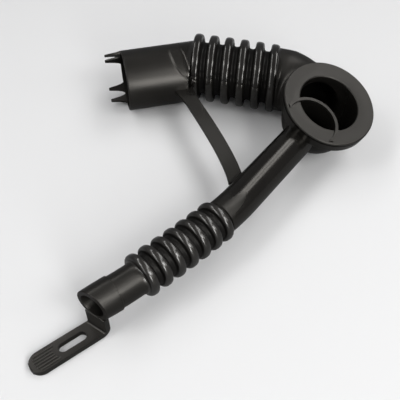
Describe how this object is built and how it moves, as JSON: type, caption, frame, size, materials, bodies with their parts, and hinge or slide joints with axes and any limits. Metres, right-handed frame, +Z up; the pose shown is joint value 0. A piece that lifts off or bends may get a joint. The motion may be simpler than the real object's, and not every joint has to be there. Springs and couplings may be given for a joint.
{
  "type": "washing machine connecting hose",
  "caption": "One-piece black rubber hose that joins a washing machine's tub outlet to its pump, with bellows, an open collar and a thin branch.",
  "frame": {"origin": "on the table, under the middle of the hose's outline seen from above", "axes": "+Z up, with the hose lying on its wide rings and its tongue; the pump cuff points along -X, and +Y is away from the small cuff"},
  "size_m": [0.1976, 0.2494, 0.0528],
  "materials": {
    "rubber": "satin"
  },
  "bodies": {
    "root": {"connecting_hose": "rubber"}
  },
  "joints": []
}
